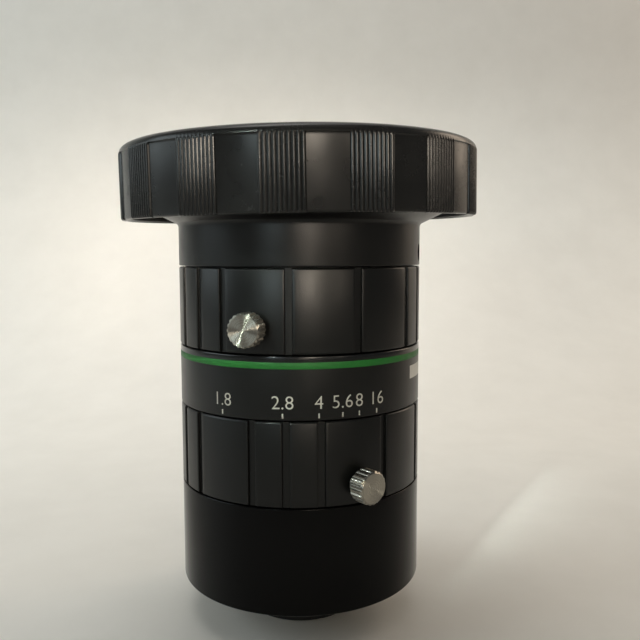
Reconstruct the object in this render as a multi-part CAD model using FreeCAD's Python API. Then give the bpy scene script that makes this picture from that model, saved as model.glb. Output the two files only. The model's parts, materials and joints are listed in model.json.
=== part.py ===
import FreeCAD, Part
import math
import os

from FreeCAD import Vector

# A fixed focal length C-mount lens with a focus ring, an iris ring and a push-on front cap.
# Millimetres. The origin is the centre of the mount's flange face, and +Z points to the front.
# Angles round the barrel are counted from -Y towards +X, in degrees.

# Fits
running_gap = 0.05
seat_gap = 0.03
soft_gap = 0.3
edge_chamfer = 0.2

# Outside radius of the sleeves and grip rings
barrel_r = 19.5

# Lengths of the stacked outer pieces, from the flange face forwards
rear_barrel_inset = 0.05
rear_barrel_length = 15.95
rear_barrel_chamfer = 0.3
iris_ring_gap = 0.12
iris_ring_length = 12.48
band_gap = 0.2
band_length = 9.15
focus_ring_length = 12.1
neck_length = 6.45
rear_barrel_z0 = rear_barrel_inset
rear_barrel_z1 = rear_barrel_z0 + rear_barrel_length
iris_ring_z0 = rear_barrel_z1 + iris_ring_gap
iris_ring_z1 = iris_ring_z0 + iris_ring_length
band_z0 = iris_ring_z1 + band_gap
band_z1 = band_z0 + band_length
focus_ring_z0 = band_z1 + band_gap
focus_ring_z1 = focus_ring_z0 + focus_ring_length
neck_z0 = focus_ring_z1 + band_gap
flare_z0 = neck_z0 + neck_length

# Fixed barrel that carries the rings
grip_ring_wall = 1.85
journal_wall = 2.0
journal_r = barrel_r - grip_ring_wall - running_gap
journal_bore_r = journal_r - journal_wall
journal_z1 = flare_z0 - 0.9

# Grip rings
slot_width = 1.1
slot_depth = 0.4
land_chamfer = 0.3
slot_grid = 15.0
focus_slots_start = -64.8
focus_slots = (0, 1, 2, 4, 6)
focus_slots_period = 8
iris_slots_start = -66.2
iris_slots = (0, 1, 3, 4, 5, 7, 9, 10)
iris_slots_period = 12

# Knurled lock screws
lock_head_r = 2.45
lock_head_length = 2.65
lock_head_stand = 1.1
lock_head_chamfer = 0.3
lock_collar_r = 1.5
lock_shank_r = 1.0
lock_tip_gap = 0.55
lock_flutes = 20
lock_flute_r = 0.2
lock_flute_depth = 0.2
focus_lock_angle = -19.6
focus_lock_z = focus_ring_z0 + 3.7
focus_lock_lean = 0.0
iris_lock_angle = 24.2
iris_lock_z = iris_ring_z0 + 3.25
iris_lock_lean = 13.0

# Front barrel and filter ring
filter_thread_r = 25.6
filter_seat_r = filter_thread_r + 0.45
filter_ring_r = filter_thread_r + 1.15
filter_lead_in = 0.4
filter_recess = 4.3
filter_floor_thickness = 0.9
flare_angle = 64.0
flare_wall = 1.0
flare_slope = math.tan(math.radians(flare_angle))
filter_floor_z = flare_z0 + (filter_seat_r - barrel_r) / flare_slope + 2.9
front_z = filter_floor_z + filter_recess

# Front cap, cocked a little on the filter ring as it was pushed on
cap_clearance = 0.38
cap_wall = 1.15
cap_r = filter_ring_r + cap_clearance + cap_wall
cap_panel_height = 10.2
cap_height = 11.43
cap_shoulder = 2.38
cap_top_r = cap_r - cap_shoulder
cap_plate = 1.0
cap_panels = 15
cap_ribbed_span = 12.6
cap_ribbed_centre = -4.5
cap_recess = 0.3
cap_ridges = 10
cap_ridge_depth = 0.17
cap_ridge_land = 0.2
cap_dish_r = cap_top_r - 4.9
cap_dish_depth = 0.25
cap_lead_in = 0.3
cap_shoulder_angle = 50.0
cap_headroom = 0.73
cap_shift_x = 0.07
cap_tilt_x = 1.15
cap_tilt_y = -0.79
cap_z0 = front_z + cap_headroom + cap_plate + cap_dish_depth - cap_height

# Neck set screw
set_screw_r = 1.4
set_screw_angle = 75.5
set_screw_z = neck_z0 + 1.95
set_screw_sink = 0.45
set_screw_hex = 0.65
set_screw_socket_depth = 0.8

# C-mount ring: one inch thread, 32 to the inch, left plain at its outside diameter
thread_r = 12.7
thread_length = 3.6
thread_chamfer = 0.3
thread_wall = 1.35
mount_bore_r = thread_r - thread_wall
flange_r = thread_r + 2.6
flange_thickness = 2.2
mount_spigot_r = thread_r + 1.3
mount_spigot_z1 = 6.0
mount_ledge_r = mount_bore_r - 1.15
mount_ledge_z1 = 1.0
journal_z0 = mount_spigot_z1 + 0.2

# Rear cell and its glass
rear_cell_r = mount_ledge_r - 1.2
rear_cell_wall = 1.1
rear_cell_z0 = -6.1
rear_cell_shoulder_z1 = 3.6
rear_cell_front_r = rear_cell_r + 0.9
rear_cell_front_wall = 1.0
rear_cell_z1 = rear_barrel_z1 - 2.6
rear_glass_r = rear_cell_r - rear_cell_wall
rear_glass_front_r = rear_cell_front_r - rear_cell_front_wall
rear_lip = 0.7

# Focusing optics
optics_wall = 3.2
optics_r = journal_bore_r - 2 * running_gap
optics_bore_r = optics_r - optics_wall
optics_z1 = flare_z0 - 0.4
front_cell_tube_r = optics_r - 1.3
front_cell_tube_z0 = optics_z1 - 6.0
front_cell_bore_r = optics_bore_r + 0.1
front_cell_ledge_r = front_cell_bore_r - 1.2
front_cell_ledge_z1 = front_cell_tube_z0 + 1.5
front_cell_r = filter_thread_r - 5.5
front_cell_wall = 0.9
front_cell_gap = 0.7
front_cell_collar = 0.8
front_cell_ledge = 2.2
front_glass_r = front_cell_r - front_cell_wall
filter_floor_hole_r = front_cell_r + 0.4
front_glass_sink = 3.8
front_glass_z0 = filter_floor_z - front_glass_sink
front_cell_z1 = front_glass_z0 + 2.7

# Glass: radii of the curved faces, rear face first, and thickness at the edge
front_glass_curves = (48.0, 80.0)
front_glass_edge = 1.2
front_glass_land = 3.2
front_ring_width = 1.4
second_glass_curves = (26.0, 40.0)
second_glass_edge = 1.6
second_glass_land = 1.9
second_ring_width = 1.2
second_ring_thickness = 1.2
third_glass_curves = (60.0, 30.0)
third_glass_edge = 2.4
fourth_glass_curves = (34.0, 40.0)
fourth_glass_edge = 4.8
spacer_wall = 1.2
middle_gap = 1.2
third_glass_z0 = front_cell_tube_z0 - 10.9
rear_first_curves = (22.0, 26.0)
rear_first_edge = 1.6
rear_first_z0 = rear_cell_shoulder_z1 + 3.8
rear_middle_curves = (18.0, 30.0)
rear_middle_edge = 2.4
rear_middle_z0 = rear_cell_shoulder_z1 - 3.2
rear_last_curves = (400.0, 24.0)
rear_last_thickness = 2.6
rear_spacer_wall = 1.0

# Iris: ring turn, blades and cam ring
blade_count = 6
iris_turn_open = 61.0
iris_turn_close = 9.0
iris_full_aperture = 1.8
iris_smallest_aperture = 16.0
iris_rest_aperture = 8.0
iris_rim_r = optics_bore_r - 0.7
blade_pivot_r = iris_rim_r - 1.2
blade_lug_r = blade_pivot_r + 0.7
blade_outer_r = blade_pivot_r - 1.1
blade_width = 4.0
iris_open_r = blade_outer_r - blade_width
blade_tip_angle = 118.0
blade_tip_bulge = 12.0
blade_drive_angle = 18.0
blade_lug_margin = 4.5
blade_thickness = 0.12
blade_pitch = 0.17
blade_pin_r = 0.28
blade_pivot_pin_r = 0.3
blade_hole_r = 0.36
iris_base_z0 = iris_ring_z0 + 2.88
iris_base_thickness = 0.8
iris_base_hole_r = iris_open_r + 0.3
optics_z0 = iris_base_z0 - 1.0
cam_gap = 0.1
cam_plate = 0.8
cam_slot_half = 0.34
cam_collar_r = optics_bore_r - 1.4
cam_collar_height = 2.65
cam_hole_r = iris_open_r + 0.6
iris_retainer_thickness = 1.4

# Focus drive: a pin in the focus ring runs in a slanted groove of the optics sleeve
focus_turn = 110.0
focus_lift = 0.7
drive_pin_r = 0.8
drive_pin_ring_depth = 1.25
focus_pin_angle = 130.0
focus_pin_z = focus_ring_z0 + 8.45
focus_groove_depth = 0.9
guide_angle = 20.0
guide_z = focus_ring_z0 + 4.05
guide_head_r = 1.5
guide_head_thickness = 0.8
guide_slot_depth = 0.9
guide_driver_slot = 0.4
iris_pin_angle = 204.0
iris_pin_tip_r = cam_collar_r + 0.1

# Values that follow from the sizes above
blade_stack_z0 = iris_base_z0 + iris_base_thickness + 0.1
blade_stack_z1 = blade_stack_z0 + (blade_count - 1) * blade_pitch + blade_thickness
cam_z0 = blade_stack_z1 + cam_gap
cam_plate_z1 = cam_z0 + cam_plate
cam_z1 = cam_plate_z1 + cam_collar_height
iris_retainer_z0 = cam_z1 + running_gap
iris_retainer_z1 = iris_retainer_z0 + iris_retainer_thickness
iris_pin_z = cam_plate_z1 + focus_lift + drive_pin_r + 0.2


def swing_at(aperture):
    """Swing of a blade, in degrees from fully open, that gives this f-number."""
    closing = iris_open_r * (1.0 - iris_full_aperture / aperture)
    return 2.0 * math.degrees(math.asin(closing / (2.0 * blade_pivot_r)))


blade_sweep = swing_at(iris_smallest_aperture)
blade_rest_swing = swing_at(iris_rest_aperture)
iris_sweep = iris_turn_open + iris_turn_close
# Turn of the cam ring for each degree of a blade's swing
cam_per_swing = iris_sweep / blade_sweep


def azimuth(angle):
    """Degrees from +X for an angle counted from -Y."""
    return angle - 90.0


def polar(r, degrees, z=0.0):
    turn = math.radians(degrees)
    return Vector(r * math.cos(turn), r * math.sin(turn), z)


def on_axis(shape, degrees):
    """A copy of the shape turned about the lens axis."""
    return shape.rotated(Vector(0, 0, 0), Vector(0, 0, 1), degrees)


def turned(start, *path):
    """Solid of revolution about Z. A step is (r, z), or ((r, z), (r, z)) for an arc through the first."""
    edges = []
    here = start
    for step in path + (start,):
        arc = isinstance(step[0], tuple)
        end = step[1] if arc else step
        first = Vector(here[0], 0, here[1])
        last = Vector(end[0], 0, end[1])
        if arc:
            middle = Vector(step[0][0], 0, step[0][1])
            edges.append(Part.Arc(first, middle, last).toShape())
        else:
            edges.append(Part.LineSegment(first, last).toShape())
        here = end
    face = Part.Face(Part.Wire(edges))
    return face.revolve(Vector(0, 0, 0), Vector(0, 0, 1), 360)


def tube(outer, inner, z0, z1):
    return turned((inner, z0), (outer, z0), (outer, z1), (inner, z1))


def sector(outer, z0, z1, start, end):
    """Pie slice between two directions, given in degrees from +X."""
    pie = Part.makeCylinder(outer, z1 - z0, Vector(0, 0, z0), Vector(0, 0, 1), end - start)
    return on_axis(pie, start)


def rod(r, inner, outer, degrees, z):
    """Radial cylinder between two radii, at a direction in degrees from +X."""
    return Part.makeCylinder(r, outer - inner, polar(inner, degrees, z), polar(1, degrees))


def sag(surface_r, r):
    return surface_r - math.sqrt(surface_r**2 - r**2)


def rise(surface_r, outer, inner):
    """Height on a spherical surface between two radii, which a flat ring resting on it has to clear."""
    return sag(surface_r, outer) - sag(surface_r, inner) + seat_gap


def bowl(surface_r, r, vertex, bulge):
    """Mid point and edge point of a spherical surface. bulge is the side on which its edge lies."""
    middle = (r / 2, vertex + bulge * sag(surface_r, r / 2))
    return middle, (r, vertex + bulge * sag(surface_r, r))


def element(r, rear_vertex, rear_surface, rear_bulge, front_vertex, front_surface, front_bulge, rear_r=None):
    """Glass element with spherical faces, and a flat rim behind where rear_r is smaller than r."""
    rear_r = rear_r or r
    rear_middle, rear_edge = bowl(rear_surface, rear_r, rear_vertex, rear_bulge)
    front_middle, front_edge = bowl(front_surface, r, front_vertex, front_bulge)
    path = [(rear_middle, rear_edge)]
    if rear_r < r:
        path.append((r, rear_edge[1]))
    path.append(front_edge)
    path.append((front_middle, (0.0, front_vertex)))
    return turned((0.0, rear_vertex), *path)


def retainer(r, inner, z0, z1, slot=0.8):
    """Threaded retaining ring with two spanner slots in its front face."""
    ring = tube(r, inner, z0, z1)
    depth = (z1 - z0) / 2
    bar = Part.makeBox(3 * r, slot, 2 * depth, Vector(-1.5 * r, -slot / 2, z1 - depth))
    return ring.cut(bar)


def lock_axis(angle, lean, z):
    """Seat of a lock screw: the point under its head on the ring, and its outward direction."""
    return polar(barrel_r, azimuth(angle), z), polar(1, azimuth(angle + lean))


def lock_screw(angle, lean, z):
    """Knurled thumb screw: fluted head, collar and plain shank."""
    base, out = lock_axis(angle, lean, z)
    head_z1 = lock_head_stand + lock_head_length
    rim_r = lock_head_r - lock_head_chamfer
    head = turned(
        (0.0, lock_head_stand),
        (rim_r, lock_head_stand),
        (lock_head_r, lock_head_stand + lock_head_chamfer),
        (lock_head_r, head_z1 - lock_head_chamfer),
        (rim_r, head_z1),
        (0.0, head_z1),
    )
    flute_at = lock_head_r + lock_flute_r - lock_flute_depth
    flutes = []
    for n in range(lock_flutes):
        foot = polar(flute_at, n * 360.0 / lock_flutes, lock_head_stand)
        flutes.append(Part.makeCylinder(lock_flute_r, lock_head_length, foot))
    head = head.cut(flutes)
    tip = -(barrel_r - journal_r - lock_tip_gap)
    collar_z0 = soft_gap
    collar = Part.makeCylinder(lock_collar_r, lock_head_stand - collar_z0, Vector(0, 0, collar_z0))
    shank = Part.makeCylinder(lock_shank_r, collar_z0 - tip, Vector(0, 0, tip))
    screw = head.fuse([collar, shank]).removeSplitter()
    screw.Placement = FreeCAD.Placement(base, FreeCAD.Rotation(Vector(0, 0, 1), out))
    return screw


def lock_hole(angle, lean, z):
    base, out = lock_axis(angle, lean, z)
    reach = 2 * (barrel_r - journal_r)
    return Part.makeCylinder(lock_shank_r + running_gap, 2 * reach, base - out * reach, out)


def grip_ring(z0, z1, slots_start, slots, period, lock, pin_angle, pin_z):
    """Ring with chamfered lands between narrow slots, a tapped hole and a blind hole for its drive pin."""
    inner = journal_r + running_gap
    floor_r = barrel_r - slot_depth
    ring = turned(
        (inner, z0),
        (barrel_r - land_chamfer, z0),
        (barrel_r, z0 + land_chamfer),
        (barrel_r, z1 - land_chamfer),
        (barrel_r - land_chamfer, z1),
        (inner, z1),
    )
    floor = Part.makeCylinder(floor_r, z1 - z0, Vector(0, 0, z0))
    bar = Part.makeBox(barrel_r, slot_width, z1 - z0, Vector(0, -slot_width / 2, z0)).cut(floor)
    repeats = round(360 / (period * slot_grid))
    cuts = []
    for n in range(repeats):
        for slot in slots:
            angle = slots_start + (n * period + slot) * slot_grid
            cuts.append(on_axis(bar, azimuth(angle)))
    cuts.append(lock_hole(*lock))
    hole_end = journal_r + drive_pin_ring_depth
    cuts.append(rod(drive_pin_r + seat_gap, journal_bore_r, hole_end, azimuth(pin_angle), pin_z))
    return ring.cut(cuts)


def drive_pin(inner, angle, z):
    return rod(drive_pin_r, inner, journal_r + drive_pin_ring_depth, azimuth(angle), z)


def window(angle, z0, z1, back, forward, r):
    """Cut that lets a drive pin sweep through a wall, with side clearance for the pin."""
    side = math.degrees(math.asin((drive_pin_r + 4 * running_gap) / journal_bore_r))
    middle = azimuth(angle)
    return sector(r, z0, z1, middle - back - side, middle + forward + side)


def focus_window(r, z0, z1):
    return window(focus_pin_angle, z0, z1, 0, focus_turn, r)


def iris_window(r, z0, z1):
    return window(iris_pin_angle, z0, z1, iris_turn_open, iris_turn_close, r)


def main_barrel():
    """Fixed sleeve with the middle band, windows for the two drive pins and a guide screw hole."""
    body = turned(
        (journal_bore_r, journal_z0),
        (journal_r - edge_chamfer, journal_z0),
        (journal_r, journal_z0 + edge_chamfer),
        (journal_r, band_z0),
        (barrel_r - edge_chamfer, band_z0),
        (barrel_r, band_z0 + edge_chamfer),
        (barrel_r, band_z1 - edge_chamfer),
        (barrel_r - edge_chamfer, band_z1),
        (journal_r, band_z1),
        (journal_r, journal_z1 - edge_chamfer),
        (journal_r - edge_chamfer, journal_z1),
        (journal_bore_r, journal_z1),
    )
    half = drive_pin_r + soft_gap
    outer = journal_r + soft_gap
    screw = azimuth(guide_angle)
    return body.cut(
        [
            focus_window(outer, focus_pin_z - half, focus_pin_z + half),
            iris_window(outer, iris_pin_z - half, iris_pin_z + half),
            rod(drive_pin_r + running_gap, journal_bore_r - 1, outer, screw, guide_z),
            rod(guide_head_r + running_gap, guide_head_seat(), outer, screw, guide_z),
        ]
    )


def guide_head_seat():
    return journal_r - running_gap - guide_head_thickness


def guide_screw():
    """Dog point screw whose tip keeps the optics sleeve from turning."""
    direction = azimuth(guide_angle)
    tip = optics_r - guide_slot_depth + soft_gap / 2
    seat = guide_head_seat() + running_gap / 2
    dog = rod(drive_pin_r, tip, seat + running_gap, direction, guide_z)
    head = rod(guide_head_r, seat, seat + guide_head_thickness, direction, guide_z)
    cut = guide_driver_slot
    driver = Part.makeBox(2 * cut, 3 * guide_head_r, cut, Vector(-cut, -1.5 * guide_head_r, -cut / 2))
    driver.translate(Vector(seat + guide_head_thickness, 0, guide_z))
    return dog.fuse(head).removeSplitter().cut(on_axis(driver, direction))


def flare_r(z):
    """Outer radius of the flare between the neck and the filter ring."""
    return barrel_r + (z - flare_z0) * flare_slope


def flare_height(r):
    return flare_z0 + (r - barrel_r) / flare_slope


def flare_inset(gap):
    """Radial distance between two cones of the flare's angle that lie this far apart."""
    return gap / math.cos(math.radians(flare_angle))


def front_barrel():
    """Neck, flare and the floor of the filter recess, turned as one piece."""
    bore = journal_r + running_gap
    rim_r = filter_seat_r - seat_gap
    rim_z = flare_height(rim_r)
    inner_cone_z0 = flare_height(bore + flare_inset(flare_wall))
    under_floor = filter_floor_z - filter_floor_thickness
    inner_rim_r = rim_r - flare_wall
    inner_cone_z1 = flare_height(inner_rim_r + flare_inset(flare_wall))
    body = turned(
        (bore, neck_z0),
        (barrel_r - edge_chamfer, neck_z0),
        (barrel_r, neck_z0 + edge_chamfer),
        (barrel_r, flare_z0),
        (rim_r, rim_z),
        (rim_r, filter_floor_z),
        (filter_floor_hole_r, filter_floor_z),
        (filter_floor_hole_r, under_floor),
        (inner_rim_r, under_floor),
        (inner_rim_r, inner_cone_z1),
        (bore, inner_cone_z0),
    )
    hole = rod(set_screw_r + seat_gap, journal_r - 1, barrel_r + 1, azimuth(set_screw_angle), set_screw_z)
    return body.cut(hole)


def neck_set_screw():
    """Headless screw with a hexagon socket, sunk in the neck."""
    direction = azimuth(set_screw_angle)
    outer = barrel_r - set_screw_sink
    screw = rod(set_screw_r, journal_r + seat_gap, outer, direction, set_screw_z)
    corners = [polar(set_screw_hex, 60 * n) for n in range(7)]
    key = Part.Face(Part.makePolygon(corners)).extrude(Vector(0, 0, 2 * set_screw_socket_depth))
    socket_floor = polar(outer - set_screw_socket_depth, direction, set_screw_z)
    key.Placement = FreeCAD.Placement(
        socket_floor, FreeCAD.Rotation(Vector(0, 0, 1), polar(1, direction))
    )
    return screw.cut(key)


def filter_ring():
    """Front ring with the filter thread, left plain at its inside diameter."""
    seat_z = flare_height(filter_ring_r)
    step_z = filter_floor_z + running_gap
    return turned(
        (filter_seat_r, flare_height(filter_seat_r) + seat_gap),
        (filter_ring_r, seat_z),
        (filter_ring_r, front_z - filter_lead_in),
        (filter_ring_r - filter_lead_in, front_z),
        (filter_thread_r + filter_lead_in, front_z),
        (filter_thread_r, front_z - filter_lead_in),
        (filter_thread_r, step_z),
        (filter_seat_r, step_z),
    )


def cap_outline():
    """Outline of the cap's wall: pads of fine ridges at full radius, and smooth panels set back between them."""
    pitch = 360.0 / cap_panels
    ridge = cap_ribbed_span / cap_ridges
    land = math.degrees(cap_ridge_land / cap_r)
    valley_r = cap_r - cap_ridge_depth
    low = cap_r - cap_recess
    edges = []
    for n in range(cap_panels):
        start = azimuth(cap_ribbed_centre) + n * pitch - cap_ribbed_span / 2
        end = start + cap_ribbed_span
        after = start + pitch
        corners = [polar(low, start), polar(valley_r, start)]
        for k in range(cap_ridges):
            crest = start + (k + 0.5) * ridge
            corners.append(polar(cap_r, crest - land / 2))
            corners.append(polar(cap_r, crest + land / 2))
            corners.append(polar(valley_r, crest + ridge / 2))
        corners.append(polar(low, end))
        edges.extend(Part.makePolygon(corners).Edges)
        edges.append(Part.Arc(polar(low, end), polar(low, (end + after) / 2), polar(low, after)).toShape())
    return Part.Wire(edges)


def front_cap():
    """Moulded push-on cap, open to the rear, with a rounded front edge and a shallow dish in its front."""
    inner = cap_r - cap_wall
    wall = Part.Face(cap_outline()).extrude(Vector(0, 0, cap_panel_height))
    shoulder_angle = math.radians(cap_shoulder_angle)
    shoulder_middle = (
        cap_top_r + cap_shoulder * math.sin(shoulder_angle),
        cap_panel_height + (cap_height - cap_panel_height) * math.cos(shoulder_angle),
    )
    top = turned(
        (0.0, cap_panel_height),
        (cap_r, cap_panel_height),
        (shoulder_middle, (cap_top_r, cap_height)),
        (cap_dish_r + 2 * cap_dish_depth, cap_height),
        (cap_dish_r, cap_height - cap_dish_depth),
        (0.0, cap_height - cap_dish_depth),
    )
    inside_z1 = cap_height - cap_plate - cap_dish_depth
    hollow = turned(
        (0.0, -1.0),
        (inner + cap_lead_in, -1.0),
        (inner + cap_lead_in, 0.0),
        (inner, cap_lead_in),
        (inner, inside_z1 - cap_lead_in),
        (inner - cap_lead_in, inside_z1),
        (0.0, inside_z1),
    )
    cap = wall.fuse(top).cut(hollow).removeSplitter()
    cap.rotate(Vector(0, 0, 0), Vector(1, 0, 0), cap_tilt_x)
    cap.rotate(Vector(0, 0, 0), Vector(0, 1, 0), cap_tilt_y)
    cap.translate(Vector(cap_shift_x, 0, cap_z0))
    return cap


def rear_barrel():
    """Smooth rear sleeve with an inner web that holds the mount ring."""
    web_z1 = mount_spigot_z1
    return turned(
        (flange_r + running_gap, rear_barrel_z0),
        (barrel_r - rear_barrel_chamfer, rear_barrel_z0),
        (barrel_r, rear_barrel_z0 + rear_barrel_chamfer),
        (barrel_r, rear_barrel_z1 - edge_chamfer),
        (barrel_r - edge_chamfer, rear_barrel_z1),
        (journal_r + seat_gap, rear_barrel_z1),
        (journal_r + seat_gap, web_z1),
        (mount_spigot_r + seat_gap, web_z1),
        (mount_spigot_r + seat_gap, flange_thickness + seat_gap),
        (flange_r + running_gap, flange_thickness + seat_gap),
    )


def c_mount_ring():
    """Flange and thread that screw into the camera, with a ledge that the rear cell seats on."""
    return turned(
        (mount_bore_r, -thread_length),
        (thread_r - thread_chamfer, -thread_length),
        (thread_r, thread_chamfer - thread_length),
        (thread_r, 0.0),
        (flange_r, 0.0),
        (flange_r, flange_thickness),
        (mount_spigot_r, flange_thickness),
        (mount_spigot_r, mount_spigot_z1),
        (mount_bore_r, mount_spigot_z1),
        (mount_bore_r, mount_ledge_z1),
        (mount_ledge_r, mount_ledge_z1),
        (mount_ledge_r, 0.0),
        (mount_bore_r, 0.0),
    )


def rear_cell():
    """Tube that holds the rear glass and stands out behind the mount."""
    z0 = rear_cell_z0
    z1 = rear_cell_shoulder_z1
    return turned(
        (rear_glass_r - rear_lip, z0),
        (rear_cell_r - edge_chamfer, z0),
        (rear_cell_r, z0 + edge_chamfer),
        (rear_cell_r, mount_ledge_z1 + seat_gap),
        (mount_bore_r - seat_gap, mount_ledge_z1 + seat_gap),
        (mount_bore_r - seat_gap, z1),
        (rear_cell_front_r, z1),
        (rear_cell_front_r, rear_cell_z1),
        (rear_glass_front_r, rear_cell_z1),
        (rear_glass_front_r, z1),
        (rear_glass_r, z1),
        (rear_glass_r, z0 + rear_lip),
        (rear_glass_r - rear_lip, z0 + rear_lip),
    )


def rear_group():
    """The fixed rear glass, its two spacers and its retaining ring."""
    narrow = rear_glass_r - seat_gap
    wide = rear_glass_front_r - seat_gap
    inner = narrow - rear_spacer_wall
    ring_inner = wide - rear_spacer_wall
    last_rear, last_front = rear_last_curves
    middle_rear, middle_front = rear_middle_curves
    first_rear, first_front = rear_first_curves
    last_z0 = rear_cell_z0 + rear_lip + seat_gap
    last_z1 = last_z0 + rear_last_thickness
    last_edge = last_z1 - sag(last_front, narrow)
    middle_edge = rear_middle_z0 + rear_middle_edge
    first_edge = rear_first_z0 + rear_first_edge
    spacer_z0 = last_edge + rise(last_front, narrow, inner)
    spacer_z1 = rear_middle_z0 - rise(middle_rear, narrow, inner)
    front_spacer_z1 = rear_first_z0 - rise(first_rear, wide, inner)
    ring_z0 = first_edge + rise(first_front, wide, ring_inner)
    middle_z0 = rear_middle_z0 - sag(middle_rear, narrow)
    middle_z1 = middle_edge + sag(middle_front, narrow)
    first_z0 = rear_first_z0 - sag(first_rear, wide)
    first_z1 = first_edge + sag(first_front, wide)
    return {
        "rear_element": element(narrow, last_z0, last_rear, 1, last_z1, last_front, -1),
        "rear_spacer": tube(narrow, inner, spacer_z0, spacer_z1),
        "rear_middle_element": element(narrow, middle_z0, middle_rear, 1, middle_z1, middle_front, -1),
        "rear_front_spacer": tube(wide, inner, rear_cell_shoulder_z1 + seat_gap, front_spacer_z1),
        "rear_front_element": element(wide, first_z0, first_rear, 1, first_z1, first_front, -1),
        "rear_retainer": retainer(wide, ring_inner, ring_z0, rear_cell_z1 - seat_gap),
    }


def focus_groove():
    """Slanted groove in the optics sleeve, so that turning the focus ring slides the sleeve.

    It lies in a tilted plane, which follows the even lift closely enough for the pin's clearance.
    """
    half = drive_pin_r + running_gap
    floor_r = optics_r - focus_groove_depth
    outer_r = optics_r + soft_gap
    sweep = focus_turn / 2
    slant = 1.12 * focus_lift / math.radians(focus_turn)
    tilt = -math.degrees(math.asin(slant / optics_r))
    groove = sector(outer_r, -half, half, -sweep, sweep)
    groove = groove.cut(Part.makeCylinder(floor_r, 4 * half, Vector(0, 0, -2 * half)))
    ends = [rod(half, floor_r, outer_r, side * sweep, 0) for side in (-1, 1)]
    groove = groove.fuse(ends).removeSplitter()
    groove.rotate(Vector(0, 0, 0), Vector(1, 0, 0), tilt)
    groove.rotate(Vector(0, 0, 0), Vector(0, 0, 1), azimuth(focus_pin_angle) + sweep)
    groove.translate(Vector(0, 0, focus_pin_z - focus_lift / 2))
    return groove


def optics_sleeve():
    """Sliding sleeve that carries the front glass and the iris."""
    body = turned(
        (optics_bore_r, optics_z0),
        (optics_r, optics_z0),
        (optics_r, optics_z1),
        (front_cell_tube_r + seat_gap, optics_z1),
        (front_cell_tube_r + seat_gap, front_cell_tube_z0),
        (optics_bore_r, front_cell_tube_z0),
    )
    play = drive_pin_r + soft_gap
    outer = optics_r + 1
    slot_r = drive_pin_r + running_gap
    direction = azimuth(guide_angle)
    slot_inner = optics_r - guide_slot_depth
    low = guide_z - focus_lift - soft_gap
    high = guide_z + soft_gap
    slot = Part.makeBox(outer - slot_inner, 2 * slot_r, high - low, Vector(slot_inner, -slot_r, low))
    cuts = [
        iris_window(outer, iris_pin_z - play - focus_lift, iris_pin_z + play),
        on_axis(slot, direction),
        rod(slot_r, slot_inner, outer, direction, low),
        rod(slot_r, slot_inner, outer, direction, high),
    ]
    return body.cut(cuts + [focus_groove()])


def front_cell():
    """Cup that screws into the optics sleeve and holds the front two elements."""
    cone_r = front_cell_tube_r + front_cell_collar
    inset = flare_inset(flare_wall + front_cell_gap)
    cone_z0 = flare_height(cone_r + inset)
    cone_z1 = flare_height(front_cell_r + inset)
    ledge_r = front_glass_r - front_cell_ledge
    wall = front_cell_r - front_glass_r
    neck_z = cone_z0 + wall
    return turned(
        (front_cell_ledge_r, front_cell_tube_z0 + seat_gap),
        (front_cell_tube_r, front_cell_tube_z0 + seat_gap),
        (front_cell_tube_r, optics_z1 + seat_gap),
        (cone_r, optics_z1 + seat_gap),
        (cone_r, cone_z0),
        (front_cell_r, cone_z1),
        (front_cell_r, front_cell_z1),
        (front_glass_r, front_cell_z1),
        (front_glass_r, front_glass_z0),
        (ledge_r, front_glass_z0),
        (front_cell_bore_r, neck_z),
        (front_cell_bore_r, front_cell_ledge_z1),
        (front_cell_ledge_r, front_cell_ledge_z1),
    )


def front_group():
    """The two front elements with their retaining rings."""
    glass_r = front_glass_r - seat_gap
    first_rear, first_front = front_glass_curves
    first_z0 = front_glass_z0 + seat_gap
    first_edge = first_z0 + front_glass_edge
    first_z1 = first_edge + sag(first_front, glass_r)
    first_hollow_r = front_glass_r - front_glass_land
    ring_inner = glass_r - front_ring_width
    ring_z0 = first_edge + rise(first_front, glass_r, ring_inner)
    second_r = front_cell_bore_r - seat_gap
    second_rear, second_front = second_glass_curves
    second_z0 = front_cell_ledge_z1 + seat_gap
    second_hollow_r = front_cell_bore_r - second_glass_land
    second_edge = second_z0 + second_glass_edge
    second_z1 = second_edge + sag(second_front, second_r)
    second_inner = second_r - second_ring_width
    second_ring_z0 = second_edge + rise(second_front, second_r, second_inner)
    first_hollow_z = first_z0 + sag(first_rear, first_hollow_r)
    second_hollow_z = second_z0 + sag(second_rear, second_hollow_r)
    return {
        "front_element": element(
            glass_r, first_hollow_z, first_rear, -1, first_z1, first_front, -1, first_hollow_r
        ),
        "front_retainer": retainer(glass_r, ring_inner, ring_z0, front_cell_z1),
        "second_element": element(
            second_r, second_hollow_z, second_rear, -1, second_z1, second_front, -1, second_hollow_r
        ),
        "second_retainer": retainer(
            second_r, second_inner, second_ring_z0, second_ring_z0 + second_ring_thickness
        ),
    }


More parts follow.
